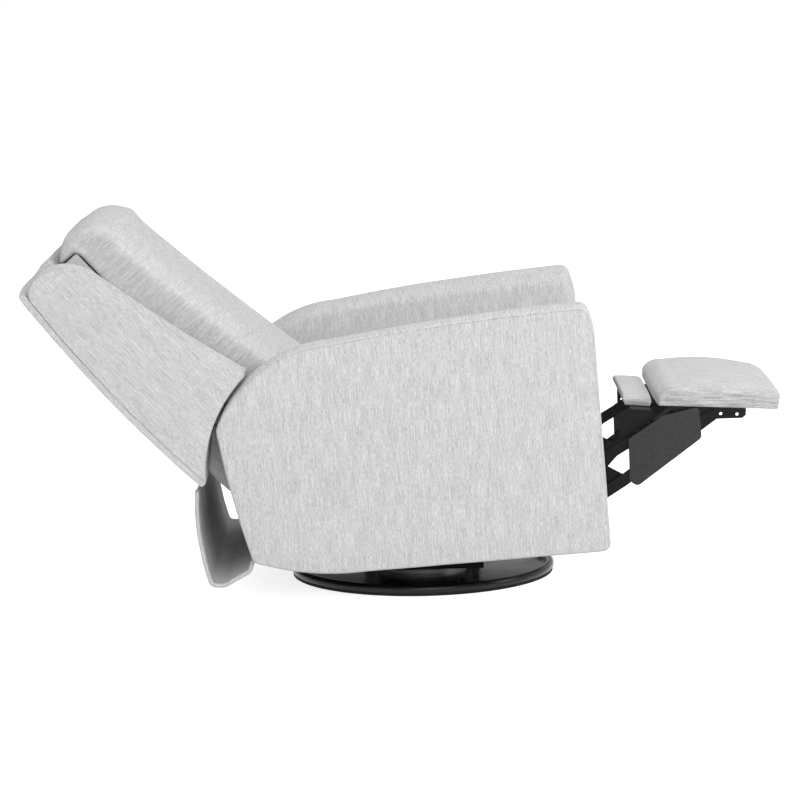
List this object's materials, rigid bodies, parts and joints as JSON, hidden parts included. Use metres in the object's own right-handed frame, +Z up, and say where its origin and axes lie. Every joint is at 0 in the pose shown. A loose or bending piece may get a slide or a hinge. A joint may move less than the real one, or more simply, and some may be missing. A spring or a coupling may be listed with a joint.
{
  "type": "swivel glider recliner",
  "caption": "Upholstered armchair that swivels, glides and reclines, with a fold-out footrest, winged back and round pedestal base.",
  "frame": {"origin": "on the floor at the swivel axis, under the middle of the round base", "axes": "+Z up along the swivel axis, the chair faces -Y, the sitter's left is +X; drawn reclined with its footrest out"},
  "size_m": [0.844, 1.6677, 0.8449],
  "materials": {
    "metal_black": "semi-gloss black paint",
    "rubber": "matte",
    "steel": "zinc plated",
    "bearing": "white low-friction plastic",
    "cloth": "light grey melange weave",
    "wood": "bare plywood",
    "webbing": "black woven strap",
    "plastic_black": "fine grain",
    "shield": "fine grain dark grey"
  },
  "bodies": {
    "base": {"base_pan": "metal_black", "foot_ring": "rubber", "base_spindle": "steel", "bearing_washer": "bearing"},
    "turntable": {"turntable_plate": "metal_black", "turntable_rails": "metal_black", "glide_frame_right": "metal_black", "glide_frame_left": "metal_black"},
    "front_glide_links": {"glide_links_front": "steel"},
    "rear_glide_links": {"glide_links_rear": "steel"},
    "cradle": {"cradle_rail_right": "metal_black", "cradle_rail_left": "metal_black", "cradle_tubes": "metal_black"},
    "chair": {"arm_right": "cloth", "arm_left": "cloth", "side_rail_right": "wood", "side_rail_left": "wood", "front_rail": "wood", "seat_rear_rail": "wood", "bottom_rear_rail": "wood", "side_plate_right": "metal_black", "side_plate_left": "metal_black", "body_tubes": "metal_black", "seat_webbing": "webbing", "seat_cushion": "cloth", "seat_deck": "webbing", "flap": "cloth", "lever_bracket": "steel"},
    "back": {"wing_right": "cloth", "wing_left": "cloth", "outside_back": "cloth", "back_post_right": "wood", "back_post_left": "wood", "back_rails": "wood", "back_webbing": "webbing", "lower_back": "cloth", "top_border": "cloth", "back_cushion": "cloth", "back_bracket_right": "metal_black", "back_bracket_left": "metal_black"},
    "lever": {"release_lever": "plastic_black"},
    "drive": {"drive_links": "metal_black", "drive_tube": "metal_black"},
    "follower": {"follower_links": "metal_black"},
    "long": {"long_links": "metal_black", "shield_right": "shield", "shield_left": "shield"},
    "control": {"control_links": "metal_black", "flipper_brackets": "metal_black", "flipper_board": "wood", "flipper_pad": "cloth"},
    "ottoman": {"ottoman_pad": "cloth", "ottoman_board": "wood", "ottoman_brackets": "metal_black"}
  },
  "joints": [
    {"name": "swivel", "type": "hinge", "parent": "base", "child": "turntable", "pos_m": [0, 0, 0.03], "axis": [0, 0, 1], "continuous": true},
    {"name": "glide", "type": "hinge", "parent": "turntable", "child": "front_glide_links", "pos_m": [0, -0.11, 0.185], "axis": [1, 0, 0], "range_deg": [-22, 22]},
    {"name": "cradle_level", "type": "hinge", "parent": "front_glide_links", "child": "cradle", "pos_m": [0, -0.11, 0.1], "axis": [1, 0, 0], "range_deg": [-22, 22]},
    {"name": "rear_glide", "type": "hinge", "parent": "turntable", "child": "rear_glide_links", "pos_m": [0, 0.11, 0.185], "axis": [1, 0, 0], "range_deg": [-22, 22]},
    {"name": "body_tilt", "type": "hinge", "parent": "cradle", "child": "chair", "pos_m": [0, 0.02411, 0.22393], "axis": [1, 0, 0], "range_deg": [0, 3.6]},
    {"name": "recline", "type": "hinge", "parent": "chair", "child": "back", "pos_m": [0, 0.16197, 0.29702], "axis": [1, 0, 0], "range_deg": [0, 33]},
    {"name": "release", "type": "hinge", "parent": "chair", "child": "lever", "pos_m": [-0.2845, -0.15396, 0.4195], "axis": [1, 0, 0], "range_deg": [0, 28], "stiffness_Nm_per_rad": 0.6},
    {"name": "footrest", "type": "hinge", "parent": "chair", "child": "drive", "pos_m": [0, -0.21669, 0.36362], "axis": [1, 0, 0], "range_deg": [0, 83.44]},
    {"name": "follower_turn", "type": "hinge", "parent": "chair", "child": "follower", "pos_m": [0, -0.17236, 0.33579], "axis": [1, 0, 0], "range_deg": [0, 83.44]},
    {"name": "long_level", "type": "hinge", "parent": "drive", "child": "long", "pos_m": [0, -0.44335, 0.23931], "axis": [1, 0, 0], "range_deg": [-83.44, 0]},
    {"name": "ottoman_turn", "type": "hinge", "parent": "long", "child": "ottoman", "pos_m": [0, -0.64052, 0.38127], "axis": [1, 0, 0], "range_deg": [0, 83.44]},
    {"name": "control_level", "type": "hinge", "parent": "drive", "child": "control", "pos_m": [0, -0.37373, 0.24695], "axis": [1, 0, 0], "range_deg": [-83.44, 0]}
  ],
  "couplings": [
    {"joint": "cradle_level", "follows": "glide", "ratio": -1},
    {"joint": "rear_glide", "follows": "glide", "ratio": 1},
    {"joint": "body_tilt", "follows": "recline", "ratio": 0.10909},
    {"joint": "follower_turn", "follows": "footrest", "ratio": 1},
    {"joint": "long_level", "follows": "footrest", "ratio": -1},
    {"joint": "ottoman_turn", "follows": "footrest", "ratio": 1},
    {"joint": "control_level", "follows": "footrest", "ratio": -1}
  ]
}
